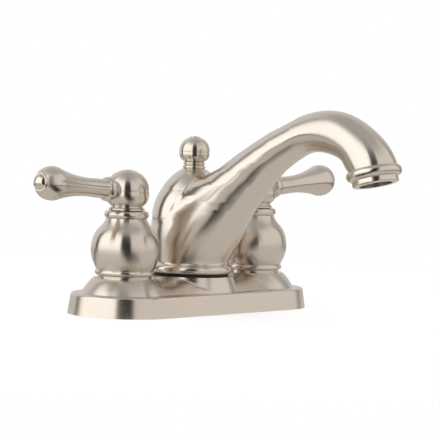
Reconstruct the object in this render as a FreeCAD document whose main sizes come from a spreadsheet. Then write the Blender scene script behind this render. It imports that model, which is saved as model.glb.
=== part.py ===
"""Centerset bathroom faucet: two lever handles, a swan spout with a lift rod, and a stepped deck plate.

The left handle stands at -X, the right one at +X, the spout points to -Y, and the deck is the plane z = 0.
"""
import FreeCAD, Part
import math
import os
import Sketcher

doc = FreeCAD.newDocument("centerset_faucet")
sheet = doc.addObject("Spreadsheet::Sheet", "Sizes")

SIZES = {
    # deck plate
    "handle_centres": 101.6,
    "plate_end": 29.4,
    "plate_width": 59.6,
    "skirt_height": 11.0,
    "skirt_draft": 8.0,
    "skirt_edge_radius": 1.6,
    "plate_wall": 3.4,
    "deck_height": 19.0,
    "tier_foot_radius": 23.0,
    "tier_top_radius": 16.4,
    "mound_foot_radius": 26.2,
    "mound_top_radius": 23.4,
    "waist_foot_reach": 89.2,
    "waist_middle_reach": 22.0,
    "waist_top_reach": 2.6,
    "roof_thickness": 2.6,
    # bells
    "foot_gap": 1.5,
    "bell_ring_radius": 15.5,
    "bulb_radius": 18.2,
    "bulb_height": 34.4,
    "bell_neck_radius": 10.6,
    "bell_neck_height": 50.3,
    "bead_radius": 11.3,
    "bead_top_height": 54.3,
    "bell_wall": 2.6,
    # handles
    "ball_radius": 11.3,
    "ball_above_bead": 10.2,
    "hub_neck_radius": 8.3,
    "cap_radius": 6.8,
    "lever_tilt": 4.7,
    "lever_ring_radius": 5.7,
    "lever_neck_radius": 4.95,
    "lever_bulb_radius": 8.25,
    "lever_bulb_reach": 52.0,
    "lever_reach": 63.6,
    "lever_tip_radius": 4.6,
    "spigot_radius": 4.4,
    # valves and shanks
    "column_radius": 10.4,
    "column_top": 31.0,
    "shank_length": 50.0,
    "shank_end_radius": 10.2,
    "shank_end_length": 7.0,
    "inlet_radius": 6.0,
    "bar_width": 17.0,
    "bar_bottom": 3.0,
    "bar_top": 13.0,
    "boss_radius": 13.0,
    "boss_top": 26.0,
    "valve_seat_height": 17.0,
    "seal_radius": 7.6,
    "seal_thickness": 1.6,
    "disc_thickness": 2.6,
    "cartridge_radius": 8.6,
    "stem_radius": 3.9,
    "washer_top": -30.0,
    # spout
    "foot_ring_radius": 22.3,
    "foot_neck_radius": 20.3,
    "foot_neck_height": 26.0,
    "spout_wall": 2.8,
    "dome_radius": 21.8,
    "dome_height": 50.0,
    "crease_radius": 7.0,
    "mouth_y": -122.7,
    "mouth_z": 81.9,
    "mouth_tilt": 15.0,
    "mouth_radius": 12.55,
    "rod_boss_radius": 5.6,
    "rod_boss_top": 76.3,
    # aerator
    "aerator_bead_radius": 14.3,
    "aerator_ring_radius": 11.9,
    "aerator_opening_radius": 8.5,
    "aerator_thread_radius": 10.4,
    # lift rod
    "rod_radius": 2.5,
    "sleeve_bore_radius": 2.9,
    "sleeve_radius": 4.2,
    "rod_end": -88.0,
    "rod_end_radius": 2.3,
    "rod_end_top": -25.0,
    "knob_radius": 8.1,
    "knob_above_boss": 8.7,
    "knob_collar_radius": 6.2,
}

for row, (name, number) in enumerate(SIZES.items(), start=1):
    sheet.set("A%d" % row, name)
    sheet.set("B%d" % row, str(number))
    sheet.setAlias("B%d" % row, name)
doc.recompute()


class Size:
    """A length together with the sheet expression that gives it."""

    def __init__(self, value, text):
        self.value = float(value)
        self.text = text

    def __add__(self, other):
        other = as_size(other)
        return Size(self.value + other.value, "(%s + %s)" % (self.text, other.text))

    def __sub__(self, other):
        other = as_size(other)
        return Size(self.value - other.value, "(%s - %s)" % (self.text, other.text))

    def __mul__(self, factor):
        return Size(self.value * factor, "(%s * %s)" % (self.text, factor))


def as_size(number):
    """Give a plain number the same form as a sheet size."""
    if isinstance(number, Size):
        return number
    return Size(number, repr(float(number)))


def size(alias):
    """Read one cell of the sheet as a Size."""
    return Size(sheet.get(alias), "Sizes." + alias)


def plane_of(body, role):
    """Find one of a body's own origin planes."""
    for feature in body.Origin.OriginFeatures:
        if feature.Role == role:
            return feature
    raise RuntimeError("no plane " + role)


def new_sketch(body, name, role="XZ_Plane"):
    """Start a sketch on an origin plane of its body."""
    sketch = body.newObject("Sketcher::SketchObject", name)
    sketch.AttachmentSupport = [(plane_of(body, role), "")]
    sketch.MapMode = "FlatFace"
    return sketch


def draw_profile(sketch, corners, arcs):
    """Draw a closed outline through the corners; arcs maps a corner number to its bulge.

    A bulge b makes the edge that leaves the corner an arc of radius |b| chords, bowed to the
    right of the way it runs when b is positive and to the left when it is negative. The bulge
    "dome" makes it part of a sphere centred on the axis that the edge runs up to.
    """
    corners = [(as_size(across), as_size(up)) for across, up in corners]
    count = len(corners)
    ends = []
    for number in range(count):
        here = corners[number]
        there = corners[(number + 1) % count]
        start = FreeCAD.Vector(here[0].value, here[1].value, 0)
        stop = FreeCAD.Vector(there[0].value, there[1].value, 0)
        if number not in arcs:
            edge = sketch.addGeometry(Part.LineSegment(start, stop), False)
            ends.append((edge, 1, 2))
            continue
        bulge = arcs[number]
        chord = stop - start
        across = "pow(%s - %s; 2)" % (there[0].text, here[0].text)
        up = "pow(%s - %s; 2)" % (there[1].text, here[1].text)
        if bulge == "dome":
            bulge = chord.Length / (2 * chord.y)
            radius_text = "(%s + %s) / (2 * (%s - %s))" % (across, up, there[1].text, here[1].text)
        else:
            radius_text = "%s * sqrt(%s + %s)" % (abs(bulge), across, up)
        radius = abs(bulge) * chord.Length
        left = FreeCAD.Vector(-chord.y, chord.x, 0).normalize()
        rise = math.sqrt(radius ** 2 - (chord.Length / 2) ** 2)
        side = 1 if bulge > 0 else -1
        centre = (start + stop) * 0.5 + left * (rise * side)
        from_angle = math.atan2(start.y - centre.y, start.x - centre.x)
        to_angle = math.atan2(stop.y - centre.y, stop.x - centre.x)
        circle = Part.Circle(centre, FreeCAD.Vector(0, 0, 1), radius)
        if bulge > 0:
            arc = Part.ArcOfCircle(circle, from_angle, to_angle)
        else:
            arc = Part.ArcOfCircle(circle, to_angle, from_angle)
        edge = sketch.addGeometry(arc, False)
        ends.append((edge, 1, 2) if bulge > 0 else (edge, 2, 1))
        bound = sketch.addConstraint(Sketcher.Constraint("Radius", edge, radius))
        sketch.setExpression("Constraints[%d]" % bound, radius_text)
    for number in range(count):
        edge, first, last = ends[number]
        after, after_first, after_last = ends[(number + 1) % count]
        sketch.addConstraint(Sketcher.Constraint("Coincident", edge, last, after, after_first))
        across, up = corners[number]
        if across.value == 0:
            sketch.addConstraint(Sketcher.Constraint("PointOnObject", edge, first, -2))
        else:
            bound = sketch.addConstraint(Sketcher.Constraint("DistanceX", -1, 1, edge, first, across.value))
            sketch.setExpression("Constraints[%d]" % bound, across.text)
        if up.value == 0:
            sketch.addConstraint(Sketcher.Constraint("PointOnObject", edge, first, -1))
        else:
            bound = sketch.addConstraint(Sketcher.Constraint("DistanceY", -1, 1, edge, first, up.value))
            sketch.setExpression("Constraints[%d]" % bound, up.text)


def turned(label, corners, arcs=None):
    """Make a body of revolution about its own Z axis from an outline of (radius, height) corners."""
    body = doc.addObject("PartDesign::Body", label)
    body.Label = label
    sketch = new_sketch(body, label + "_profile")
    draw_profile(sketch, corners, arcs or {})
    turn = body.newObject("PartDesign::Revolution", label + "_turn")
    turn.Profile = sketch
    turn.ReferenceAxis = (sketch, ["V_Axis"])
    turn.Angle = 360.0
    body.Tip = turn
    return body


def cylinder(name, radius, low, high, at_x=None, at_y=None):
    """Make an upright cylinder between two heights, its sizes bound to the sheet."""
    radius, low, high = as_size(radius), as_size(low), as_size(high)
    item = doc.addObject("Part::Cylinder", name)
    item.setExpression("Radius", radius.text)
    item.setExpression("Height", "%s - %s" % (high.text, low.text))
    item.setExpression("Placement.Base.z", low.text)
    if at_x is not None:
        item.setExpression("Placement.Base.x", as_size(at_x).text)
    if at_y is not None:
        item.setExpression("Placement.Base.y", as_size(at_y).text)
    return item


def fused(name, items):
    """Join several solids into one."""
    item = doc.addObject("Part::MultiFuse", name)
    item.Shapes = items
    item.Refine = True
    return item


def cut(name, base, tool):
    """Take one solid away from another."""
    item = doc.addObject("Part::Cut", name)
    item.Base = base
    item.Tool = tool
    item.Refine = True
    return item


half_centres = size("handle_centres") * 0.5
sides = {"left": half_centres * -1.0, "right": half_centres}
finished = []


def finish(item, label, at_x=None):
    """Name a finished piece and, where asked, set it at one handle's axis."""
    item.Label = label
    if at_x is not None:
        item.setExpression("Placement.Base.x", at_x.text)
    finished.append(item)
    return item


# deck plate
def lobed_outline(height, end_radius, middle_radius, reach):
    """Close a three-lobed wire: rounds at the handles and spout, and hollows that span each gap and a reach more."""
    centre = half_centres.value
    hollow_radius = (centre - end_radius - middle_radius) / 2 + reach
    far = end_radius + hollow_radius
    near = middle_radius + hollow_radius
    hollow_x = (near ** 2 - far ** 2 + centre ** 2) / (2 * centre)
    hollow_y = math.sqrt(near ** 2 - hollow_x ** 2)
    mid_x = hollow_x * middle_radius / near
    mid_y = hollow_y * middle_radius / near
    end_x = centre + (hollow_x - centre) * end_radius / far
    end_y = hollow_y * end_radius / far
    waist_y = hollow_y - hollow_radius

    def at(x_place, y_place):
        return FreeCAD.Vector(x_place, y_place, height)

    def waist(sign_x, sign_y):
        toward = FreeCAD.Vector(0 - hollow_x, 0 - hollow_y, 0) + FreeCAD.Vector(centre - hollow_x, 0 - hollow_y, 0)
        toward.normalize()
        return at(sign_x * (hollow_x + toward.x * hollow_radius), sign_y * (hollow_y + toward.y * hollow_radius))

    edges = [
        Part.Arc(at(end_x, -end_y), at(centre + end_radius, 0), at(end_x, end_y)),
        Part.Arc(at(end_x, end_y), waist(1, 1), at(mid_x, mid_y)),
        Part.Arc(at(mid_x, mid_y), at(0, middle_radius), at(-mid_x, mid_y)),
        Part.Arc(at(-mid_x, mid_y), waist(-1, 1), at(-end_x, end_y)),
        Part.Arc(at(-end_x, end_y), at(-centre - end_radius, 0), at(-end_x, -end_y)),
        Part.Arc(at(-end_x, -end_y), waist(-1, -1), at(-mid_x, -mid_y)),
        Part.Arc(at(-mid_x, -mid_y), at(0, -middle_radius), at(mid_x, -mid_y)),
        Part.Arc(at(mid_x, -mid_y), waist(1, -1), at(end_x, -end_y)),
    ]
    return Part.Wire([edge.toShape() for edge in edges])


def slot_pad(body, name, length, width, low, high, draft=None):
    """Pad a round-ended slot, upright along Z, in its body."""
    sketch = new_sketch(body, name + "_outline", "XY_Plane")
    sketch.setExpression("AttachmentOffset.Base.z", as_size(low).text)
    radius = width.value / 2
    middle = (length.value - width.value) / 2
    up = FreeCAD.Vector(0, 0, 1)
    quarter = math.pi / 2
    right = Part.ArcOfCircle(Part.Circle(FreeCAD.Vector(middle, 0, 0), up, radius), -quarter, quarter)
    left = Part.ArcOfCircle(Part.Circle(FreeCAD.Vector(-middle, 0, 0), up, radius), quarter, 3 * quarter)
    far = Part.LineSegment(FreeCAD.Vector(middle, radius, 0), FreeCAD.Vector(-middle, radius, 0))
    near = Part.LineSegment(FreeCAD.Vector(-middle, -radius, 0), FreeCAD.Vector(middle, -radius, 0))
    sketch.addGeometry([right, far, left, near], False)
    for first, second in ((0, 1), (1, 2), (2, 3), (3, 0)):
        sketch.addConstraint(Sketcher.Constraint("Tangent", first, 2, second, 1))
    sketch.addConstraint(Sketcher.Constraint("Horizontal", 1))
    sketch.addConstraint(Sketcher.Constraint("Symmetric", 0, 3, 2, 3, -1, 1))
    bound = sketch.addConstraint(Sketcher.Constraint("Radius", 0, radius))
    sketch.setExpression("Constraints[%d]" % bound, "%s / 2" % width.text)
    bound = sketch.addConstraint(Sketcher.Constraint("DistanceX", -1, 1, 0, 3, middle))
    sketch.setExpression("Constraints[%d]" % bound, "(%s - %s) / 2" % (length.text, width.text))
    pad = body.newObject("PartDesign::Pad", name)
    pad.Profile = sketch
    pad.setExpression("Length", "%s - %s" % (as_size(high).text, as_size(low).text))
    if draft is not None:
        pad.setExpression("TaperAngle", "-%s" % draft.text)
    return pad


plate_length = size("handle_centres") + size("plate_end") * 2
plate_width = size("plate_width")
skirt_height, deck_height = size("skirt_height"), size("deck_height")
plate_wall = size("plate_wall")

skirt = doc.addObject("PartDesign::Body", "skirt")
skirt_pad = slot_pad(skirt, "skirt_pad", plate_length, plate_width, 0.0, skirt_height, size("skirt_draft"))
doc.recompute()
top_edges = []
for number, edge in enumerate(skirt_pad.Shape.Edges, start=1):
    if abs(edge.BoundBox.ZMin - skirt_height.value) < 0.01 and abs(edge.BoundBox.ZMax - skirt_height.value) < 0.01:
        top_edges.append("Edge%d" % number)
skirt_round = skirt.newObject("PartDesign::Fillet", "skirt_round")
skirt_round.Base = (skirt_pad, top_edges)
skirt_round.setExpression("Radius", "Sizes.skirt_edge_radius")
skirt.Tip = skirt_round

tier_foot_radius, tier_top_radius = size("tier_foot_radius").value, size("tier_top_radius").value
mound_foot_radius, mound_top_radius = size("mound_foot_radius").value, size("mound_top_radius").value
tier_rise = deck_height.value - skirt_height.value
tier_sections = [
    lobed_outline(skirt_height.value - 0.5, tier_foot_radius, mound_foot_radius, size("waist_foot_reach").value),
    lobed_outline(
        skirt_height.value + 0.55 * tier_rise,
        0.3 * tier_foot_radius + 0.7 * tier_top_radius + 1.4,
        0.45 * mound_foot_radius + 0.55 * mound_top_radius,
        size("waist_middle_reach").value,
    ),
    lobed_outline(deck_height.value, tier_top_radius, mound_top_radius, size("waist_top_reach").value),
]
tier = doc.addObject("Part::Feature", "tier")
tier.Shape = Part.makeLoft(tier_sections, True, False)

rim_hollow = doc.addObject("PartDesign::Body", "rim_hollow")
rim_pad = slot_pad(
    rim_hollow, "rim_pad", plate_length - plate_wall * 2, plate_width - plate_wall * 2, -1.0, skirt_height - plate_wall
)
rim_hollow.Tip = rim_pad
plate_solid = fused("plate_solid", [skirt, tier])
roof = deck_height - size("roof_thickness")
hollow_items = [
    rim_hollow,
    cylinder("mound_hollow", size("mound_top_radius") - 4.0, 5.0, roof),
    cylinder("mound_hole", size("boss_radius"), 5.0, deck_height + 1.0),
]
bar_room = doc.addObject("Part::Box", "bar_room")
bar_room.setExpression("Length", "Sizes.handle_centres")
bar_room.setExpression("Width", "Sizes.bar_width + 1")
bar_room.setExpression("Height", "Sizes.bar_top - 4.5")
bar_room.setExpression("Placement.Base.x", "-Sizes.handle_centres / 2")
bar_room.setExpression("Placement.Base.y", "-Sizes.bar_width / 2 - 0.5")
bar_room.Placement.Base.z = 5.0
hollow_items.append(bar_room)
for side, place in sides.items():
    hollow_items.append(cylinder(side + "_tier_hollow", size("tier_top_radius") - 2.4, 5.0, roof, place))
    hollow_items.append(cylinder(side + "_tier_hole", size("column_radius"), 5.0, deck_height + 1.0, place))
deck_plate = cut("deck_plate", plate_solid, fused("plate_hollow", hollow_items))
finish(deck_plate, "deck_plate")

gasket_body = doc.addObject("PartDesign::Body", "gasket_slab")
gasket_pad = slot_pad(
    gasket_body, "gasket_pad", plate_length - plate_wall * 2, plate_width - plate_wall * 2, 0.0, size("bar_bottom")
)
gasket_body.Tip = gasket_pad
gasket_holes = [cylinder("gasket_rod_hole", 6.0, -1.0, 10.0)]
for side, place in sides.items():
    gasket_holes.append(cylinder(side + "_gasket_hole", size("column_radius"), -1.0, 10.0, place))
deck_gasket = cut("deck_gasket", gasket_body, fused("gasket_hole_set", gasket_holes))
finish(deck_gasket, "deck_gasket")

# waterway casting
bar_bottom, bar_top = size("bar_bottom"), size("bar_top")
bar = doc.addObject("Part::Box", "waterway_bar")
bar.setExpression("Length", "Sizes.handle_centres")
bar.setExpression("Width", "Sizes.bar_width")
bar.setExpression("Height", "Sizes.bar_top - Sizes.bar_bottom")
bar.setExpression("Placement.Base.x", "-Sizes.handle_centres / 2")
bar.setExpression("Placement.Base.y", "-Sizes.bar_width / 2")
bar.setExpression("Placement.Base.z", "Sizes.bar_bottom")
metal = [bar, cylinder("outlet_boss", size("boss_radius"), bar_bottom, size("boss_top"))]
water = []
for side, place in sides.items():
    shank_low = size("shank_length") * -1.0
    shank_end = shank_low + size("shank_end_length")
    metal.append(cylinder(side + "_column", size("column_radius"), shank_end, size("column_top"), place))
    metal.append(cylinder(side + "_shank_end", size("shank_end_radius"), shank_low, shank_end, place))
    water.append(cylinder(side + "_inlet", size("inlet_radius"), size("shank_length") * -1.0 - 1.0, 14.0, place))
    water.append(cylinder(side + "_chamber", size("cartridge_radius"), size("valve_seat_height"), size("column_top") + 1.0, place))
    port = cylinder(side + "_port", 2.0, 13.0, 18.0, place)
    port.setExpression("Placement.Base.y", "-3.5")
    water.append(port)
channel = doc.addObject("Part::Cylinder", "cross_channel")
channel.Radius = 3.0
channel.setExpression("Height", "Sizes.handle_centres - 2 * Sizes.inlet_radius - 6")
channel.Placement = FreeCAD.Placement(FreeCAD.Vector(0, 0, 8), FreeCAD.Rotation(FreeCAD.Vector(0, 1, 0), 90))
channel.setExpression("Placement.Base.x", "-Sizes.handle_centres / 2 + Sizes.inlet_radius + 3")
channel.setExpression("Placement.Base.y", "-8.0 + 2.6")
water.append(channel)
outlet_port = cylinder("outlet_port", 2.8, 7.0, size("boss_top") + 1.0)
outlet_port.setExpression("Placement.Base.y", "-8.4")
water.append(outlet_port)
water.append(cylinder("rod_passage", size("sleeve_radius"), 0.0, size("boss_top") + 1.0))
waterway_body = cut("waterway_body", fused("waterway_metal", metal), fused("waterway_water", water))
finish(waterway_body, "waterway_body")

# shank hardware
washer_top = size("washer_top")
for side, place in sides.items():
    washer = cut(
        side + "_deck_washer",
        cylinder(side + "_washer_disc", 19.0, washer_top - 3.0, washer_top, place),
        cylinder(side + "_washer_hole", size("column_radius"), washer_top - 4.0, washer_top + 1.0, place),
    )
    finish(washer, side + "_deck_washer")
    hexagon = doc.addObject("Part::Prism", side + "_nut_hexagon")
    hexagon.Polygon = 6
    hexagon.Circumradius = 16.5
    hexagon.Height = 9.0
    hexagon.setExpression("Placement.Base.x", place.text)
    hexagon.setExpression("Placement.Base.z", "Sizes.washer_top - 12")
    nut = cut(
        side + "_mounting_nut",
        hexagon,
        cylinder(side + "_nut_hole", size("column_radius"), washer_top - 13.0, washer_top, place),
    )
    finish(nut, side + "_mounting_nut")

# bells
foot_gap = size("foot_gap")
ring = size("bell_ring_radius")
bulb_radius, bulb_height = size("bulb_radius"), size("bulb_height")
neck_radius, neck_height = size("bell_neck_radius"), size("bell_neck_height")
bead_radius, bead_top = size("bead_radius"), size("bead_top_height")
ball, ball_height = size("ball_radius"), bead_top + size("ball_above_bead")
bell_wall = size("bell_wall")
ring_low = deck_height + foot_gap
ring_high = ring_low + 3.0
thread_top = ring_low + 5.0
bell_corners = [
    (size("column_radius"), deck_height),
    (ring - 1.5, deck_height),
    (ring - 1.5, ring_low),
    (ring - 0.5, ring_low),
    (ring - 0.5, ring_high),
    (ring - 0.2, ring_high + 0.4),
    (bulb_radius, bulb_height),
    (bulb_radius - 1.3, bulb_height + 6.6),
    (bulb_radius - 4.3, bulb_height + 11.0),
    (neck_radius, neck_height),
    (bead_radius - 0.5, neck_height + 0.2),
    (bead_radius - 0.5, bead_top - 0.2),
    (neck_radius - 0.8, bead_top),
    (neck_radius - 2.4, bead_top),
    (neck_radius - 2.4, neck_height),
    (bulb_radius - 1.6 - bell_wall, bulb_height + 7.0),
    (bulb_radius - bell_wall, bulb_height),
    (ring - bell_wall, thread_top),
    (size("column_radius"), thread_top),
]
bell_arcs = {3: 0.6, 5: 1.88, 6: 2.6, 7: 2.4, 8: -2.35, 10: 0.62, 14: -2.4, 15: -2.3, 16: -1.9}
for side, place in sides.items():
    bell = turned(side + "_bell", bell_corners, bell_arcs)
    finish(bell, side + "_bell", place)

# valve cartridges
cartridge_radius, stem_radius = size("cartridge_radius"), size("stem_radius")
valve_seat, column_top = size("valve_seat_height"), size("column_top")
seal_radius, bonnet_top = size("seal_radius"), bead_top - 6.3
disc_low = valve_seat + size("seal_thickness")
disc_high = disc_low + size("disc_thickness")
shell_floor = disc_high + 4.3
stem_top, screw_seat = ball_height - 3.5, ball_height - 1.5
screw_end = bead_top - 2.3
for side, place in sides.items():
    seal = turned(
        side + "_seat_seal",
        [(4.6, valve_seat), (seal_radius, valve_seat), (seal_radius, disc_low), (4.6, disc_low)],
    )
    finish(seal, side + "_seat_seal", place)
    fixed_disc = turned(
        side + "_fixed_disc",
        [(2.0, disc_low), (seal_radius, disc_low), (seal_radius, disc_high), (2.0, disc_high)],
    )
    finish(fixed_disc, side + "_fixed_disc", place)
    shell = turned(
        side + "_cartridge",
        [
            (seal_radius, valve_seat),
            (cartridge_radius, valve_seat),
            (cartridge_radius, column_top),
            (size("column_radius") - 0.4, column_top),
            (size("column_radius") - 0.4, column_top + 5.0),
            (6.6, column_top + 5.0),
            (6.6, bonnet_top),
            (stem_radius + 0.35, bonnet_top),
            (stem_radius + 0.35, shell_floor),
            (seal_radius, shell_floor),
        ],
    )
    finish(shell, side + "_cartridge", place)
    stem = turned(
        side + "_stem",
        [
            (0, disc_high + 0.1),
            (seal_radius - 0.4, disc_high + 0.1),
            (seal_radius - 0.4, disc_high + 3.0),
            (stem_radius, disc_high + 3.0),
            (stem_radius, stem_top),
            (1.6, stem_top),
            (1.6, screw_end),
            (0, screw_end),
        ],
    )
    finish(stem, side + "_stem", place)
    screw = turned(
        side + "_handle_screw",
        [
            (0, screw_end),
            (1.6, screw_end),
            (1.6, screw_seat),
            (3.4, screw_seat),
            (3.4, screw_seat + 2.4),
            (1.3, screw_seat + 2.4),
            (1.3, screw_seat + 1.0),
            (0, screw_seat + 1.0),
        ],
    )
    finish(screw, side + "_handle_screw", place)

# handles
hub_neck = size("hub_neck_radius")
cap = size("cap_radius")
hub_low = bead_top + 0.4
cap_seat = ball_height + ball - 3.1
lever_neck, lever_bulb = size("lever_neck_radius"), size("lever_bulb_radius")
lever_ring, lever_tip = size("lever_ring_radius"), size("lever_tip_radius")
bulb_reach, lever_reach = size("lever_bulb_reach"), size("lever_reach")
spigot = size("spigot_radius")
tilt = size("lever_tilt")

hub_corners = [
    (stem_radius, hub_low),
    (hub_neck + 1.2, hub_low),
    (hub_neck + 1.2, hub_low + 0.8),
    (hub_neck, ball_height - ball + 3.6),
    (ball, ball_height),
    (cap + 0.35, ball_height + ball - 2.3),
    (cap + 0.35, cap_seat),
    (3.9, cap_seat),
    (3.9, screw_seat),
    (1.9, screw_seat),
    (1.9, stem_top),
    (stem_radius, stem_top),
]
hub_arcs = {2: -0.95, 3: 0.83, 4: 1.03}
lever_corners = [
    (0, 5.5),
    (spigot, 5.5),
    (spigot, 12.0),
    (lever_ring - 0.5, 12.3),
    (lever_ring - 0.5, 17.0),
    (lever_neck, 17.6),
    (lever_neck, 24.0),
    (lever_bulb, bulb_reach),
    (lever_tip + 0.4, lever_reach - 0.8),
    (lever_tip, lever_reach),
    (lever_tip - 0.4, lever_reach),
    (lever_tip - 0.4, lever_reach - 1.6),
    (0, lever_reach - 1.6),
]
lever_arcs = {3: 0.62, 6: -2.8, 7: 0.85}
tip_corners = [
    (0, lever_reach - 1.6),
    (lever_tip - 0.4, lever_reach - 1.6),
    (lever_tip - 0.4, lever_reach),
    (0, lever_reach + 2.4),
]
for side, place in sides.items():
    turn_y = (90.0 - tilt.value) * (-1 if side == "left" else 1)
    lie = FreeCAD.Rotation(FreeCAD.Vector(0, 1, 0), turn_y)
    hub_turn = turned(side + "_hub_ball", hub_corners, hub_arcs)
    hub_turn.setExpression("Placement.Base.x", place.text)
    socket = doc.addObject("Part::Cylinder", side + "_lever_socket")
    socket.setExpression("Radius", "Sizes.spigot_radius")
    socket.Height = 30
    socket.Placement = FreeCAD.Placement(FreeCAD.Vector(place.value, 0, ball_height.value), lie)
    arm_start = FreeCAD.Placement(FreeCAD.Vector(place.value, 0, ball_height.value), lie)
    socket.Placement = arm_start.multiply(FreeCAD.Placement(FreeCAD.Vector(0, 0, 5.5), FreeCAD.Rotation()))
    hub = cut(side + "_hub", hub_turn, socket)
    finish(hub, side + "_hub")

    lever = turned(side + "_lever", lever_corners, lever_arcs)
    lever.Placement = arm_start
    finish(lever, side + "_lever")
    button = turned(side + "_lever_button", tip_corners, {2: "dome"})
    button.Placement = arm_start
    finish(button, side + "_lever_button")

    index_cap = turned(
        side + "_index_cap",
        [
            (0, cap_seat),
            (cap, cap_seat),
            (cap, ball_height + ball - 2.3),
            (cap - 0.5, ball_height + ball - 1.9),
            (0, ball_height + ball),
        ],
        {3: "dome"},
    )
    finish(index_cap, side + "_index_cap", place)

# spout
foot_ring = size("foot_ring_radius")
foot_neck, foot_neck_height = size("foot_neck_radius"), size("foot_neck_height")
spout_wall = size("spout_wall")

# each section: back or upper point, front or lower point (y, z), and half its width across
mouth_radius = size("mouth_radius").value
mouth_y, mouth_z = size("mouth_y").value, size("mouth_z").value
mouth_tilt = math.radians(size("mouth_tilt").value)
mouth_back = (mouth_y - mouth_radius * math.cos(mouth_tilt), mouth_z + mouth_radius * math.sin(mouth_tilt))
mouth_front = (mouth_y + mouth_radius * math.cos(mouth_tilt), mouth_z - mouth_radius * math.sin(mouth_tilt))
SECTIONS = {
    "neck": ((foot_neck.value, foot_neck_height.value), (-foot_neck.value, foot_neck_height.value), foot_neck.value),
    "belly": ((22.4, 38.0), (-26.5, 35.2), 22.3),
    "shoulder": ((22.8, 48.0), (-33.2, 44.6), 22.4),
    "crown": ((0.0, 68.6), (-43.8, 58.8), 17.6),
    "saddle": ((-14.6, 74.2), (-52.0, 67.4), 15.2),
    "rise": ((-37.0, 87.2), (-61.4, 76.9), 12.9),
    "reach": ((-56.4, 98.2), (-71.0, 83.2), 11.5),
    "arch": ((-82.4, 108.8), (-83.6, 88.4), 10.6),
    "bend": ((-104.4, 109.0), (-97.2, 87.5), 11.0),
    "drop": ((-120.0, 101.7), (-105.4, 84.2), 11.7),
    "mouth": (mouth_back, mouth_front, mouth_radius),
}

# points round each section, and the Y at which the skin is parted so that its mesh follows it closely
SECTION_POINTS = 48
SKIN_PARTING = -75.0


def ellipse_wire(back, front, half_width, inset, shift=0.0):
    """Make one spout section as a closed spline through points that all start at the back."""
    middle = FreeCAD.Vector(0, (back[0] + front[0]) / 2, (back[1] + front[1]) / 2)
    across = FreeCAD.Vector(0, back[0] - front[0], back[1] - front[1])
    along = across.Length / 2 - inset
    across.normalize()
    normal = FreeCAD.Vector(1, 0, 0).cross(across)
    middle = middle + normal * shift
    points = []
    for step in range(SECTION_POINTS):
        angle = 2 * math.pi * step / SECTION_POINTS
        sideways = FreeCAD.Vector((half_width - inset) * math.sin(angle), 0, 0)
        points.append(middle + across * (along * math.cos(angle)) + sideways)
    curve = Part.BSplineCurve()
    even_steps = [step / SECTION_POINTS for step in range(SECTION_POINTS + 1)]
    curve.interpolate(Points=points, PeriodicFlag=True, Parameters=even_steps)
    return Part.Wire([curve.toShape()])


def spout_loft(name, inset, start_drop, end_drop):
    """Loft the spout's skin, drawn in by the inset and run on past both ends."""
    wires = []
    names = list(SECTIONS)
    for section in names:
        back, front, half_width = SECTIONS[section]
        wires.append(ellipse_wire(back, front, half_width, inset))
    first, last = SECTIONS[names[0]], SECTIONS[names[-1]]
    if start_drop:
        wires.insert(0, ellipse_wire(first[0], first[1], first[2], inset, -start_drop))
    if end_drop:
        wires.append(ellipse_wire(last[0], last[1], last[2], inset, end_drop))
    item = doc.addObject("Part::Feature", name)
    item.Shape = Part.makeLoft(wires, True, False)
    return item


spout_outer = spout_loft("spout_outer", 0.0, 0.0, 0.0)
spout_inner = spout_loft("spout_inner", spout_wall.value, 1.0, 0.0)
foot = turned(
    "spout_foot",
    [
        (0, ring_low),
        (foot_ring - 0.9, ring_low),
        (foot_ring - 0.9, ring_low + 4.2),
        (foot_neck, foot_neck_height),
        (0, foot_neck_height),
    ],
    {1: 0.62, 2: -1.2},
)
dome, dome_height = size("dome_radius"), size("dome_height")
rod_boss_top = size("rod_boss_top")
dome_body = turned(
    "spout_dome",
    [
        (0, dome_height - 10.0),
        (dome - 3.8, dome_height - 10.0),
        (dome, dome_height),
        (dome - 4.9, dome_height + 15.1),
        (size("rod_boss_radius"), rod_boss_top),
        (0, rod_boss_top),
    ],
    {1: 1.6, 2: 1.7, 3: 1.7},
)
dome_hollow = turned(
    "dome_hollow",
    [
        (0, dome_height - 9.0),
        (dome - spout_wall - 4.0, dome_height - 9.0),
        (dome - spout_wall - 0.6, dome_height),
        (dome - spout_wall - 5.0, dome_height + 11.5),
        (0, dome_height + 13.0),
    ],
    {1: 1.6, 2: 1.7},
)


def crease_edges(shape, low):
    """Number the edges, above a height, where the spout's arm leaves the round body."""
    found = []
    for number, edge in enumerate(shape.Edges):
        kinds = {face.Surface.TypeId for face in shape.ancestorsOfType(edge, Part.Face)}
        if kinds == {"Part::GeomBSplineSurface", "Part::GeomSurfaceOfRevolution"} and edge.BoundBox.ZMax > low:
            found.append(number + 1)
    return found


mouth_axis = FreeCAD.Vector(0, -math.sin(mouth_tilt), -math.cos(mouth_tilt))
mouth_turn = FreeCAD.Rotation(FreeCAD.Vector(0, 0, 1), mouth_axis)
mouth_place = FreeCAD.Placement(FreeCAD.Vector(0, mouth_y, mouth_z), mouth_turn)
mouth_bore = doc.addObject("Part::Cylinder", "mouth_bore")
mouth_bore.setExpression("Radius", "Sizes.aerator_thread_radius")
mouth_bore.Height = 8.0
mouth_bore.Placement = mouth_place.multiply(FreeCAD.Placement(FreeCAD.Vector(0, 0, -7.0), FreeCAD.Rotation()))
spout_blank = fused("spout_blank", [dome_body, spout_outer])
doc.recompute()
spout_blend = doc.addObject("Part::Fillet", "spout_blend")
spout_blend.Base = spout_blank
crease = size("crease_radius").value
spout_blend.Edges = [(number, crease, crease) for number in crease_edges(spout_blank.Shape, foot_neck_height.value + 1.0)]
spout_metal = fused("spout_metal", [spout_blend, foot])
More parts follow.
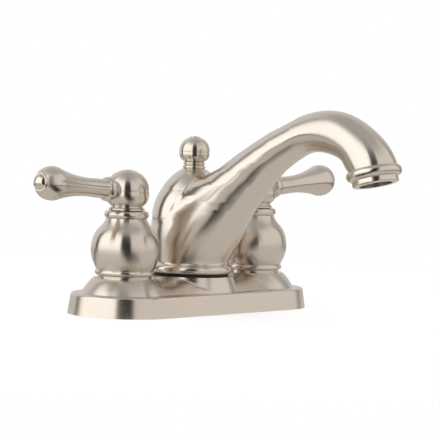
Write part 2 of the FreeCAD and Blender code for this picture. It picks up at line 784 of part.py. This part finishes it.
spout_hollow = fused(
    "spout_hollow",
    [
        spout_inner,
        dome_hollow,
        mouth_bore,
        cylinder("boss_socket", size("boss_radius"), ring_low - 1.0, foot_neck_height + 0.5),
        cylinder("sleeve_hole", size("sleeve_radius"), 60.0, size("rod_boss_top") + 1.0),
    ],
)
spout_whole = cut("spout_whole", spout_metal, spout_hollow)
arm_box = doc.addObject("Part::Box", "arm_box")
arm_box.Length = 80
arm_box.Width = 80
arm_box.Height = 120
arm_box.Placement = FreeCAD.Placement(FreeCAD.Vector(-40, SKIN_PARTING - 80, 20), FreeCAD.Rotation())
spout_front = doc.addObject("Part::Common", "spout_front")
spout_front.Base = spout_whole
spout_front.Tool = arm_box
spout_rear = cut("spout_rear", spout_whole, arm_box)
spout = fused("spout", [spout_rear, spout_front])
spout.Refine = False
finish(spout, "spout")

spout_washer = turned(
    "spout_washer",
    [(size("boss_radius"), deck_height), (foot_ring - 1.9, deck_height), (foot_ring - 1.9, ring_low), (size("boss_radius"), ring_low)],
)
finish(spout_washer, "spout_washer")

rod_sleeve = turned(
    "rod_sleeve",
    [
        (size("sleeve_bore_radius"), bar_bottom),
        (size("sleeve_radius"), bar_bottom),
        (size("sleeve_radius"), size("rod_boss_top") - 0.4),
        (size("sleeve_bore_radius"), size("rod_boss_top") - 0.4),
    ],
)
finish(rod_sleeve, "rod_sleeve")

# aerator, turned about the mouth's axis
aerator_bead, aerator_ring = size("aerator_bead_radius"), size("aerator_ring_radius")
aerator_opening, aerator_thread = size("aerator_opening_radius"), size("aerator_thread_radius")
housing = turned(
    "aerator_housing",
    [
        (aerator_opening + 0.6, -6.0),
        (aerator_thread, -6.0),
        (aerator_thread, 0.0),
        (aerator_bead - 1.4, 0.0),
        (aerator_bead - 1.4, 5.0),
        (aerator_ring, 5.4),
        (aerator_ring, 7.6),
        (aerator_ring - 0.8, 8.4),
        (aerator_opening, 8.4),
        (aerator_opening, 6.4),
        (aerator_opening + 0.6, 6.4),
    ],
    {3: 0.58, 6: 0.75},
)
insert = turned(
    "aerator_insert",
    [
        (0, -2.0),
        (7.0, -2.0),
        (aerator_opening + 0.6, -0.6),
        (aerator_opening + 0.6, 5.6),
        (aerator_opening - 0.5, 5.6),
        (aerator_opening - 0.5, 1.0),
        (0, 1.0),
    ],
)
screen = turned(
    "aerator_screen",
    [(0, 5.6), (aerator_opening + 0.6, 5.6), (aerator_opening + 0.6, 6.4), (0, 6.4)],
)
aerator_washer = turned(
    "aerator_washer",
    [
        (7.0, -7.0),
        (aerator_thread, -7.0),
        (aerator_thread, -6.0),
        (7.0, -6.0),
    ],
)
for item, label in (
    (housing, "aerator_housing"),
    (insert, "aerator_insert"),
    (screen, "aerator_screen"),
    (aerator_washer, "aerator_washer"),
):
    item.Placement = mouth_place
    finish(item, label)

# lift rod
rod_radius = size("rod_radius")
knob, knob_height = size("knob_radius"), size("rod_boss_top") + size("knob_above_boss")
collar = size("knob_collar_radius")
collar_low = size("rod_boss_top")
rod = turned(
    "lift_rod",
    [
        (0, size("rod_end")),
        (rod_radius - 0.6, size("rod_end")),
        (size("rod_end_radius"), size("rod_end") + 0.5),
        (size("rod_end_radius"), size("rod_end_top")),
        (rod_radius, size("rod_end_top") + 0.2),
        (rod_radius, knob_height - 3.0),
        (0, knob_height - 3.0),
    ],
)
finish(rod, "lift_rod")
knob_body = turned(
    "lift_rod_knob",
    [
        (rod_radius, collar_low),
        (collar - 0.5, collar_low),
        (collar - 0.5, collar_low + 1.5),
        (collar - 0.9, collar_low + 1.8),
        (collar - 0.8, collar_low + 2.0),
        (collar - 0.8, collar_low + 3.4),
        (collar - 1.1, collar_low + 3.6),
        (knob, knob_height),
        (2.9, knob_height + 7.8),
        (2.7, knob_height + 8.2),
        (0, knob_height + 8.6),
        (0, knob_height - 3.0),
        (rod_radius, knob_height - 3.0),
    ],
    {1: 0.6, 4: 0.6, 6: 0.75, 7: 0.76, 9: "dome"},
)
finish(knob_body, "lift_rod_knob")

# check and write the files
doc.recompute()
for item in doc.Objects:
    if "Invalid" in item.State or "Error" in item.State:
        raise RuntimeError("%s did not rebuild: %s" % (item.Label, item.State))
os.makedirs("parts", exist_ok=True)
for item in finished:
    shape = item.Shape
    if shape.isNull() or not shape.isValid() or not shape.Solids:
        raise RuntimeError("%s has no valid solid" % item.Label)
    shape.exportStep("parts/%s.step" % item.Label)
    print("%-22s %2d solid %9.1f mm3" % (item.Label, len(shape.Solids), shape.Volume))
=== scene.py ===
"""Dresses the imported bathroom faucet: satin nickel, a pale floor and a soft studio."""

import math

import bpy
from mathutils import Matrix, Vector

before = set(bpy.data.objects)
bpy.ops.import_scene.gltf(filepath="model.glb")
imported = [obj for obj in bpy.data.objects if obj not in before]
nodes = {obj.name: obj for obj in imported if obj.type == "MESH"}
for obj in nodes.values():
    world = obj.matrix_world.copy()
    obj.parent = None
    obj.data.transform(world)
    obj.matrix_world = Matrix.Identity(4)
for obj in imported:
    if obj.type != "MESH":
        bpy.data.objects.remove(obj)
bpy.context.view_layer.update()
scene = bpy.context.scene
scene.view_settings.view_transform = "Standard"

# camera, in the photograph's place; lengths in metres, the lens and its sensor in millimetres
CAMERA_PLACE = Vector((-0.942695, -0.868868, 0.120101))
CAMERA_RIGHT = Vector((0.6701262, -0.74151634, 0.03292996))
CAMERA_UP = Vector((0.01913361, 0.06160794, 0.99791701))
SENSOR_WIDTH = 36.0
FOCAL_LENGTH = 194.92
camera_data = bpy.data.cameras.new("photo_camera")
camera_data.sensor_width = SENSOR_WIDTH
camera_data.lens = FOCAL_LENGTH
camera = bpy.data.objects.new("photo_camera", camera_data)
scene.collection.objects.link(camera)
back = CAMERA_RIGHT.cross(CAMERA_UP).normalized()
turn = Matrix((CAMERA_RIGHT, CAMERA_UP, back)).transposed().to_4x4()
camera.matrix_world = Matrix.Translation(CAMERA_PLACE) @ turn
scene.camera = camera


# small node helpers
def new_material(name):
    """Start a node material and return it with its tree and its shader."""
    material = bpy.data.materials.new(name)
    material.use_nodes = True
    tree = material.node_tree
    shader = tree.nodes["Principled BSDF"]
    return material, tree, shader


def math_node(tree, operation, first, second=None):
    """Add a math node fed by sockets or plain numbers."""
    node = tree.nodes.new("ShaderNodeMath")
    node.operation = operation
    for place, value in enumerate((first, second)):
        if value is None:
            continue
        if isinstance(value, (int, float)):
            node.inputs[place].default_value = value
        else:
            tree.links.new(value, node.inputs[place])
    return node.outputs[0]


def vector_node(tree, operation, first, second=None):
    """Add a vector math node fed by sockets or plain triples."""
    node = tree.nodes.new("ShaderNodeVectorMath")
    node.operation = operation
    for place, value in enumerate((first, second)):
        if value is None:
            continue
        if isinstance(value, (tuple, list, Vector)):
            node.inputs[place].default_value = tuple(value)
        else:
            tree.links.new(value, node.inputs[place])
    return node.outputs["Value"] if operation in ("DOT_PRODUCT", "LENGTH") else node.outputs["Vector"]


def share_between(tree, value, low, high):
    """Add a map-range node that runs from 0 at the low value to 1 at the high one."""
    share = tree.nodes.new("ShaderNodeMapRange")
    share.inputs["From Min"].default_value = low
    share.inputs["From Max"].default_value = high
    tree.links.new(value, share.inputs["Value"])
    return share


def split(tree, vector):
    """Split a vector into its X, Y and Z sockets."""
    parts = tree.nodes.new("ShaderNodeSeparateXYZ")
    tree.links.new(vector, parts.inputs[0])
    return parts.outputs


# the metal's colour, and how much the grain of its brushing moves the colour, the gloss and the height
NICKEL = (0.76, 0.69, 0.615, 1.0)
TINT_DARKER = 0.07
TINT_LIGHTER = 0.05
GLOSS_SWING = 0.04
SPOUT_GLOSS_SWING = 0.03
PLAIN_GLOSS_SWING = 0.08
BUMP_STRENGTH = 0.05
BUMP_DEPTH = 0.00005
# the part of the noise's range that the gloss of brushed metal follows
GRAIN_RANGE = (0.3, 0.7)
# how close the noise's streaks stand across the brushing, and how often they break along it
FINE_RINGS = (1500.0, 1.2)
BROAD_RINGS = (420.0, 0.8)
PLATE_LINES = (1500.0, 22.0)
SPOUT_LINES = (900.0, 60.0)
# the slant along which the noise is read round an axis, so that it has no seam
ROUND_SLANT = (1.3, 2.1, 0.7)
# the turn of the gloss, in whole turns, from along its tangent to across it
QUARTER_TURN = 0.25


def brushed_metal(name, stretch):
    """Start a metal with a drawn-out gloss; return it with its tree, shader and place on the object."""
    material, tree, shader = new_material(name)
    shader.inputs["Metallic"].default_value = 1.0
    shader.inputs["Anisotropic"].default_value = stretch
    spot = tree.nodes.new("ShaderNodeTexCoord").outputs["Object"]
    return material, tree, shader, spot


def grain_gloss(tree, shader, grain, roughness, swing, grain_range=GRAIN_RANGE):
    """Let the grain move the roughness by the swing to each side."""
    rough = share_between(tree, grain, *grain_range)
    rough.inputs["To Min"].default_value = roughness - swing
    rough.inputs["To Max"].default_value = roughness + swing
    tree.links.new(rough.outputs[0], shader.inputs["Roughness"])


def grain_tint(tree, shader, grain, lines):
    """Let the grain darken and lighten the nickel's colour."""
    darker = tuple(part * (1 - TINT_DARKER * lines) for part in NICKEL[:3])
    lighter = tuple(part * (1 + TINT_LIGHTER * lines) for part in NICKEL[:3])
    tint = tree.nodes.new("ShaderNodeMix")
    tint.data_type = "RGBA"
    tint.inputs["A"].default_value = darker + (1.0,)
    tint.inputs["B"].default_value = lighter + (1.0,)
    tree.links.new(grain, tint.inputs["Factor"])
    tree.links.new(tint.outputs["Result"], shader.inputs["Base Color"])


def streaks(tree, along, out, around, fineness, spread):
    """Noise drawn out the way the brushing runs, finer across it than along it."""
    place = tree.nodes.new("ShaderNodeCombineXYZ")
    tree.links.new(math_node(tree, "MULTIPLY", along, fineness), place.inputs[0])
    tree.links.new(math_node(tree, "MULTIPLY", out, fineness), place.inputs[1])
    tree.links.new(math_node(tree, "MULTIPLY", around, spread), place.inputs[2])
    grain = tree.nodes.new("ShaderNodeTexNoise")
    grain.inputs["Scale"].default_value = 1.0
    grain.inputs["Detail"].default_value = 2.0
    tree.links.new(place.outputs[0], grain.inputs["Vector"])
    return grain.outputs["Fac"]


def nickel(name, centre, axis, roughness=0.24, stretch=0.9, lines=0.45):
    """Satin nickel, brushed round an axis through the centre: fine rings and a streaked gloss."""
    material, tree, shader, spot = brushed_metal(name, stretch)
    shader.inputs["Anisotropic Rotation"].default_value = QUARTER_TURN
    arm = vector_node(tree, "SUBTRACT", spot, centre)
    round_local = vector_node(tree, "CROSS_PRODUCT", tuple(axis), arm)
    to_world = tree.nodes.new("ShaderNodeVectorTransform")
    to_world.vector_type = "VECTOR"
    to_world.convert_from = "OBJECT"
    to_world.convert_to = "WORLD"
    tree.links.new(round_local, to_world.inputs[0])
    tree.links.new(vector_node(tree, "NORMALIZE", to_world.outputs[0]), shader.inputs["Tangent"])
    along = vector_node(tree, "DOT_PRODUCT", arm, tuple(axis))
    out = vector_node(tree, "LENGTH", round_local)
    around = vector_node(tree, "DOT_PRODUCT", vector_node(tree, "NORMALIZE", round_local), ROUND_SLANT)
    half_fine = math_node(tree, "MULTIPLY", streaks(tree, along, out, around, *FINE_RINGS), 0.5)
    half_broad = math_node(tree, "MULTIPLY", streaks(tree, along, out, around, *BROAD_RINGS), 0.5)
    both = math_node(tree, "ADD", half_fine, half_broad)
    grain_gloss(tree, shader, both, roughness, GLOSS_SWING * lines)
    grain_tint(tree, shader, both, lines)
    bump = tree.nodes.new("ShaderNodeBump")
    bump.inputs["Strength"].default_value = BUMP_STRENGTH * lines
    bump.inputs["Distance"].default_value = BUMP_DEPTH
    tree.links.new(both, bump.inputs["Height"])
    tree.links.new(bump.outputs[0], shader.inputs["Normal"])
    return material


def plate_nickel(name, roughness=0.25, stretch=0.75, lines=0.6):
    """Satin nickel brushed along the plate: what it mirrors is drawn out across the brushing."""
    material, tree, shader, spot = brushed_metal(name, stretch)
    shader.inputs["Anisotropic Rotation"].default_value = QUARTER_TURN
    parts = split(tree, spot)
    tangent = tree.nodes.new("ShaderNodeCombineXYZ")
    tangent.inputs[0].default_value = 1.0
    tree.links.new(tangent.outputs[0], shader.inputs["Tangent"])
    fine = streaks(tree, parts["Z"], parts["Y"], parts["X"], *PLATE_LINES)
    grain_gloss(tree, shader, fine, roughness, GLOSS_SWING * lines)
    grain_tint(tree, shader, fine, lines)
    return material


# how steeply the spout climbs along its length: (y in metres, degrees above level), front first
CLIMB = (
    (-0.126, -72.0),
    (-0.105, -38.0),
    (-0.083, 0.0),
    (-0.06, 27.0),
    (-0.03, 42.0),
    (0.0, 75.0),
    (0.025, 90.0),
)


def spout_nickel(name, roughness=0.22, stretch=0.85, lines=0.4):
    """Satin nickel brushed across the spout, so what it mirrors is drawn out along its length."""
    material, tree, shader, spot = brushed_metal(name, stretch)
    parts = split(tree, spot)
    climb = tree.nodes.new("ShaderNodeFloatCurve")
    curve = climb.mapping.curves[0]
    front, rear = CLIMB[0][0], CLIMB[-1][0]
    steps = [((place - front) / (rear - front), (degrees + 90) / 180) for place, degrees in CLIMB]
    curve.points[0].location, curve.points[1].location = steps[0], steps[-1]
    for step in steps[1:-1]:
        curve.points.new(*step)
    climb.mapping.update()
    tree.links.new(share_between(tree, parts["Y"], front, rear).outputs[0], climb.inputs["Value"])
    angle = math_node(tree, "MULTIPLY", math_node(tree, "SUBTRACT", climb.outputs[0], 0.5), math.pi)
    length = tree.nodes.new("ShaderNodeCombineXYZ")
    tree.links.new(math_node(tree, "MULTIPLY", math_node(tree, "COSINE", angle), -1.0), length.inputs[1])
    tree.links.new(math_node(tree, "SINE", angle), length.inputs[2])
    tree.links.new(length.outputs[0], shader.inputs["Tangent"])
    onward = vector_node(tree, "DOT_PRODUCT", spot, length.outputs[0])
    fine = streaks(tree, onward, onward, parts["X"], *SPOUT_LINES)
    grain_gloss(tree, shader, fine, roughness, SPOUT_GLOSS_SWING * lines)
    shader.inputs["Base Color"].default_value = NICKEL
    return material


def plain(name, colour, roughness, metallic=0.0, speck=900.0):
    """A plain material with a fine uneven gloss."""
    material, tree, shader = new_material(name)
    shader.inputs["Base Color"].default_value = colour + (1.0,)
    shader.inputs["Metallic"].default_value = metallic
    spot = tree.nodes.new("ShaderNodeTexCoord").outputs["Object"]
    grain = tree.nodes.new("ShaderNodeTexNoise")
    grain.inputs["Scale"].default_value = speck
    tree.links.new(spot, grain.inputs["Vector"])
    grain_gloss(tree, shader, grain.outputs["Fac"], roughness, PLAIN_GLOSS_SWING, (0.0, 1.0))
    return material


def paint(node, material):
    """Give a CAD node its one material."""
    mesh = nodes[node].data
    mesh.materials.clear()
    mesh.materials.append(material)


# materials on the CAD nodes; the axes their brushing runs round, in metres
UP = (0.0, 0.0, 1.0)
HALF_CENTRES = 0.0508
BALL_HEIGHT = 0.0645
TILT = math.radians(4.7)
MOUTH = (0.0, -0.1227, 0.0819)
MOUTH_TILT = math.radians(15)
MOUTH_AXIS = (0.0, -math.sin(MOUTH_TILT), -math.cos(MOUTH_TILT))

rubber = plain("rubber", (0.012, 0.012, 0.013), 0.65)
brass = plain("yellow_brass", (0.62, 0.45, 0.20), 0.32, 1.0)
steel = plain("stainless", (0.55, 0.53, 0.50), 0.3, 1.0)
mesh_steel = plain("woven_steel", (0.10, 0.10, 0.10), 0.45, 1.0, 2600.0)
black_plastic = plain("black_plastic", (0.02, 0.02, 0.022), 0.5)
grey_plastic = plain("grey_plastic", (0.10, 0.10, 0.11), 0.5)
ceramic = plain("white_ceramic", (0.80, 0.80, 0.78), 0.2)

for side, sign in (("left", -1.0), ("right", 1.0)):
    upright = nickel(side + "_upright_nickel", (sign * HALF_CENTRES, 0, 0), UP)
    paint(side + "_bell", upright)
    paint(side + "_hub", upright)
    paint(side + "_index_cap", upright)
    arm = (sign * math.cos(TILT), 0.0, math.sin(TILT))
    ball = (sign * HALF_CENTRES, 0, BALL_HEIGHT)
    paint(side + "_lever", nickel(side + "_lever_nickel", ball, arm))
    paint(side + "_lever_button", nickel(side + "_button_nickel", ball, arm, 0.14, 0.3, 0.3))
    for name, material in (
        ("stem", brass),
        ("handle_screw", steel),
        ("seat_seal", rubber),
        ("fixed_disc", ceramic),
        ("cartridge", brass),
        ("deck_washer", black_plastic),
        ("mounting_nut", brass),
    ):
        paint(side + "_" + name, material)

paint("deck_plate", plate_nickel("plate_nickel"))
paint("spout", spout_nickel("spout_nickel"))
paint("lift_rod_knob", nickel("knob_nickel", (0, 0, 0), UP))
paint("aerator_housing", nickel("aerator_nickel", MOUTH, MOUTH_AXIS, 0.22, 0.6, 0.6))
paint("aerator_screen", mesh_steel)
paint("aerator_insert", grey_plastic)
paint("aerator_washer", rubber)
paint("spout_washer", rubber)
paint("deck_gasket", rubber)
paint("waterway_body", brass)
paint("rod_sleeve", brass)
paint("lift_rod", steel)


# floor and studio
def flat_sheet(name, corners):
    """Add a four-cornered sheet."""
    mesh = bpy.data.meshes.new(name)
    mesh.from_pydata([tuple(corner) for corner in corners], [], [(0, 1, 2, 3)])
    sheet = bpy.data.objects.new(name, mesh)
    scene.collection.objects.link(sheet)
    return sheet


# the world lights at this strength, and the camera sees it as full white
WORLD_STRENGTH = 0.45
world = bpy.data.worlds.new("studio")
scene.world = world
world.use_nodes = True
tree = world.node_tree
sky = tree.nodes["Background"]
sky.inputs["Color"].default_value = (1, 1, 1, 1)
path = tree.nodes.new("ShaderNodeLightPath")
seen = math_node(tree, "MAXIMUM", path.outputs["Is Camera Ray"], WORLD_STRENGTH)
tree.links.new(seen, sky.inputs["Strength"])

# the wall of softboxes and dark flags that the metal mirrors; degrees run from the camera to its right
WALL_RADIUS = 1.4
WALL_HEIGHT = 2.6
WALL_FADE = (1.3, 2.4)
CEILING = (0.55, 0.54, 0.52, 1.0)
SOFTBOX = (1.45, 1.44, 1.42)
BACKDROP = (0.75, 0.74, 0.72)
PANEL = (0.82, 0.79, 0.75)
DARK = (0.03, 0.027, 0.024)
DARK_STRIP = (0.12, 0.115, 0.11)
DIM_STRIP = (0.25, 0.24, 0.23)
REAR_PANEL = (0.6, 0.59, 0.57)
WALL_BANDS = (
    (-180, BACKDROP),
    (-117, BACKDROP),
    (-113, DARK_STRIP),
    (-102, DARK_STRIP),
    (-97, SOFTBOX),
    (-18, SOFTBOX),
    (-13, DARK),
    (16, DARK),
    (22, PANEL),
    (112, PANEL),
    (125, DIM_STRIP),
    (140, REAR_PANEL),
    (180, BACKDROP),
)
# what mirrors see of the floor, all painted as glow: a lit pale table, painted shade for the dark gap past
# its edge, then the wall's own bands
TABLE_GLOW = (0.62, 0.60, 0.56)
# painted shade: the colour of the table where shade falls on it, seen only in reflections
PAINTED_TABLE_SHADE = (0.10, 0.095, 0.09)
# where the ring of painted shade for the dark gap starts past the table's edge, and how wide it is
TABLE_EDGE = 0.33
EDGE_BLUR = 0.01
TABLE_GAP = 0.13
GAP_BLUR = 0.02
# painted shade on the table as mirrors see it: dark toward the camera and in a narrow band to its left
PAINTED_TABLE_SHADE_BANDS = (
    (-180, TABLE_GLOW),
    (-114, TABLE_GLOW),
    (-110, PAINTED_TABLE_SHADE),
    (-100, PAINTED_TABLE_SHADE),
    (-96, TABLE_GLOW),
    (-18, TABLE_GLOW),
    (-13, DARK),
    (16, DARK),
    (22, TABLE_GLOW),
    (180, TABLE_GLOW),
)
# inside the first distance the table has no painted shade bands, past the second it has them in full
TABLE_CENTRE = (0.06, 0.12)
# the floor's own white, which catches the shadow
FLOOR_WHITE = (0.92, 0.92, 0.92, 1)
FLOOR_ROUGHNESS = 0.7
# near the part this share of the floor is plain white to the camera; it grows to all between the distances
SHADOW_WHITENED = 0.75
SHADOW_FADE = (0.12, 0.4)
toward = Vector((CAMERA_PLACE.x, CAMERA_PLACE.y, 0)).normalized()
rightward = Vector((CAMERA_RIGHT.x, CAMERA_RIGHT.y, 0)).normalized()


def round_wall(name, low, high, steps=96):
    """Add an open upright cylinder round the object, seen only by what mirrors it."""
    corners, faces = [], []
    for step in range(steps):
        angle = 2 * math.pi * step / steps
        spot = (toward * math.cos(angle) + rightward * math.sin(angle)) * WALL_RADIUS
        corners.append((spot.x, spot.y, low))
        corners.append((spot.x, spot.y, high))
        after = (step + 1) % steps
        faces.append((2 * step, 2 * after, 2 * after + 1, 2 * step + 1))
    mesh = bpy.data.meshes.new(name)
    mesh.from_pydata(corners, [], faces)
    wall = bpy.data.objects.new(name, mesh)
    scene.collection.objects.link(wall)
    wall.visible_camera = False
    wall.visible_shadow = False
    return wall


def band_ramp(tree, bands):
    """Colour by the direction round the object: each band is degrees and a colour. Return it and the spot."""
    spot = tree.nodes.new("ShaderNodeTexCoord").outputs["Object"]
    forward = vector_node(tree, "DOT_PRODUCT", spot, tuple(toward))
    across = vector_node(tree, "DOT_PRODUCT", spot, tuple(rightward))
    angle = math_node(tree, "ARCTAN2", across, forward)
    part = math_node(tree, "ADD", math_node(tree, "DIVIDE", angle, 2 * math.pi), 0.5)
    ramp = tree.nodes.new("ShaderNodeValToRGB")
    stops = ramp.color_ramp.elements
    stops[0].position, stops[1].position = 0.0, 1.0
    stops[0].color, stops[1].color = bands[0][1] + (1.0,), bands[-1][1] + (1.0,)
    for degrees, colour in bands[1:-1]:
        stops.new((degrees + 180) / 360).color = colour + (1.0,)
    tree.links.new(part, ramp.inputs["Fac"])
    return ramp.outputs["Color"], spot


def banded_glow(name, bands, fade=None):
    """Glow in upright bands, fading to the ceiling between two heights where they are given."""
    material, tree = new_material(name)[:2]
    colour, spot = band_ramp(tree, bands)
    glow = tree.nodes.new("ShaderNodeEmission")
    if fade:
        share = share_between(tree, split(tree, spot)["Z"], *fade)
        faded = tree.nodes.new("ShaderNodeMix")
        faded.data_type = "RGBA"
        tree.links.new(share.outputs[0], faded.inputs["Factor"])
        tree.links.new(colour, faded.inputs["A"])
        faded.inputs["B"].default_value = CEILING
        colour = faded.outputs["Result"]
    tree.links.new(colour, glow.inputs["Color"])
    tree.links.new(glow.outputs[0], tree.nodes["Material Output"].inputs["Surface"])
    return material


def ring_share(tree, near, far):
    """Run from 0 inside the near distance from the middle to 1 past the far one."""
    spot = tree.nodes.new("ShaderNodeTexCoord").outputs["Object"]
    share = share_between(tree, vector_node(tree, "LENGTH", spot), near, far)
    share.interpolation_type = "SMOOTHSTEP"
    return share.outputs[0]


def blend(tree, factor, first, second):
    """Mix two shaders; the factor is a socket."""
    mixed = tree.nodes.new("ShaderNodeMixShader")
    tree.links.new(factor, mixed.inputs[0])
    tree.links.new(first, mixed.inputs[1])
    tree.links.new(second, mixed.inputs[2])
    return mixed.outputs[0]


def glow(tree, colour):
    """Add an even glow of one colour at strength 1."""
    node = tree.nodes.new("ShaderNodeEmission")
    node.inputs["Color"].default_value = colour
    return node.outputs[0]


def white_floor_with_painted_reflection():
    """A white floor: plain for light, white to the camera past the shadow, and to mirrors a painted glow of a
    lit table with its edge and painted shade bands.
    """
    material = banded_glow("white_floor_with_painted_reflection", WALL_BANDS)
    tree = material.node_tree
    shader = tree.nodes["Principled BSDF"]
    shader.inputs["Base Color"].default_value = FLOOR_WHITE
    shader.inputs["Roughness"].default_value = FLOOR_ROUGHNESS
    banded = tree.nodes["Emission"].outputs[0]
    past_centre = ring_share(tree, *TABLE_CENTRE)
    past_edge = ring_share(tree, TABLE_EDGE - EDGE_BLUR, TABLE_EDGE)
    past_gap = ring_share(tree, TABLE_EDGE + TABLE_GAP, TABLE_EDGE + TABLE_GAP + GAP_BLUR)
    # painted reflection: to glossy rays the floor glows as a lit table with painted shade in bands and past
    # its edge
    outer_painted_table = tree.nodes.new("ShaderNodeEmission")
    tree.links.new(band_ramp(tree, PAINTED_TABLE_SHADE_BANDS)[0], outer_painted_table.inputs["Color"])
    table = blend(tree, past_centre, glow(tree, TABLE_GLOW + (1.0,)), outer_painted_table.outputs[0])
    # past the table's edge the floor shows mirrors a ring of painted shade standing for the dark gap
    table = blend(tree, past_edge, table, glow(tree, DARK + (1.0,)))
    painted_reflection = blend(tree, past_gap, table, banded)
    far_white = math_node(tree, "MULTIPLY", ring_share(tree, *SHADOW_FADE), 1 - SHADOW_WHITENED)
    white_share = math_node(tree, "ADD", far_white, SHADOW_WHITENED)
    seen = blend(tree, white_share, shader.outputs[0], glow(tree, (1, 1, 1, 1)))
    path = tree.nodes.new("ShaderNodeLightPath")
    for_camera = blend(tree, path.outputs["Is Camera Ray"], shader.outputs[0], seen)
    # mirrors see the painted glow of the table in place of the floor itself
    for_mirrors = blend(tree, path.outputs["Is Glossy Ray"], for_camera, painted_reflection)
    tree.links.new(for_mirrors, tree.nodes["Material Output"].inputs["Surface"])
    return material


FLOOR_HALF = 3
floor_corners = [(x * FLOOR_HALF, y * FLOOR_HALF, 0) for x, y in ((-1, -1), (1, -1), (1, 1), (-1, 1))]
floor = flat_sheet("floor", floor_corners)
floor.data.materials.append(white_floor_with_painted_reflection())
wall = round_wall("studio_wall", 0.0, WALL_HEIGHT)
wall.data.materials.append(banded_glow("studio_bands", WALL_BANDS, WALL_FADE))


def lamp(name, place, target, width, height, power):
    """Add a soft rectangular lamp aimed at a point."""
    data = bpy.data.lights.new(name, "AREA")
    data.shape = "RECTANGLE"
    data.size = width
    data.size_y = height
    data.energy = power
    item = bpy.data.objects.new(name, data)
    item.location = place
    item.rotation_euler = (Vector(target) - Vector(place)).to_track_quat("-Z", "Y").to_euler()
    item.visible_glossy = False
    scene.collection.objects.link(item)


LAMP_PLACE = (0.0, -0.1, 1.5)
LAMP_TARGET = (0, 0, 0.05)
LAMP_SIDE = 1.6
LAMP_WATTS = 22.0
lamp("overhead", LAMP_PLACE, LAMP_TARGET, LAMP_SIDE, LAMP_SIDE, LAMP_WATTS)
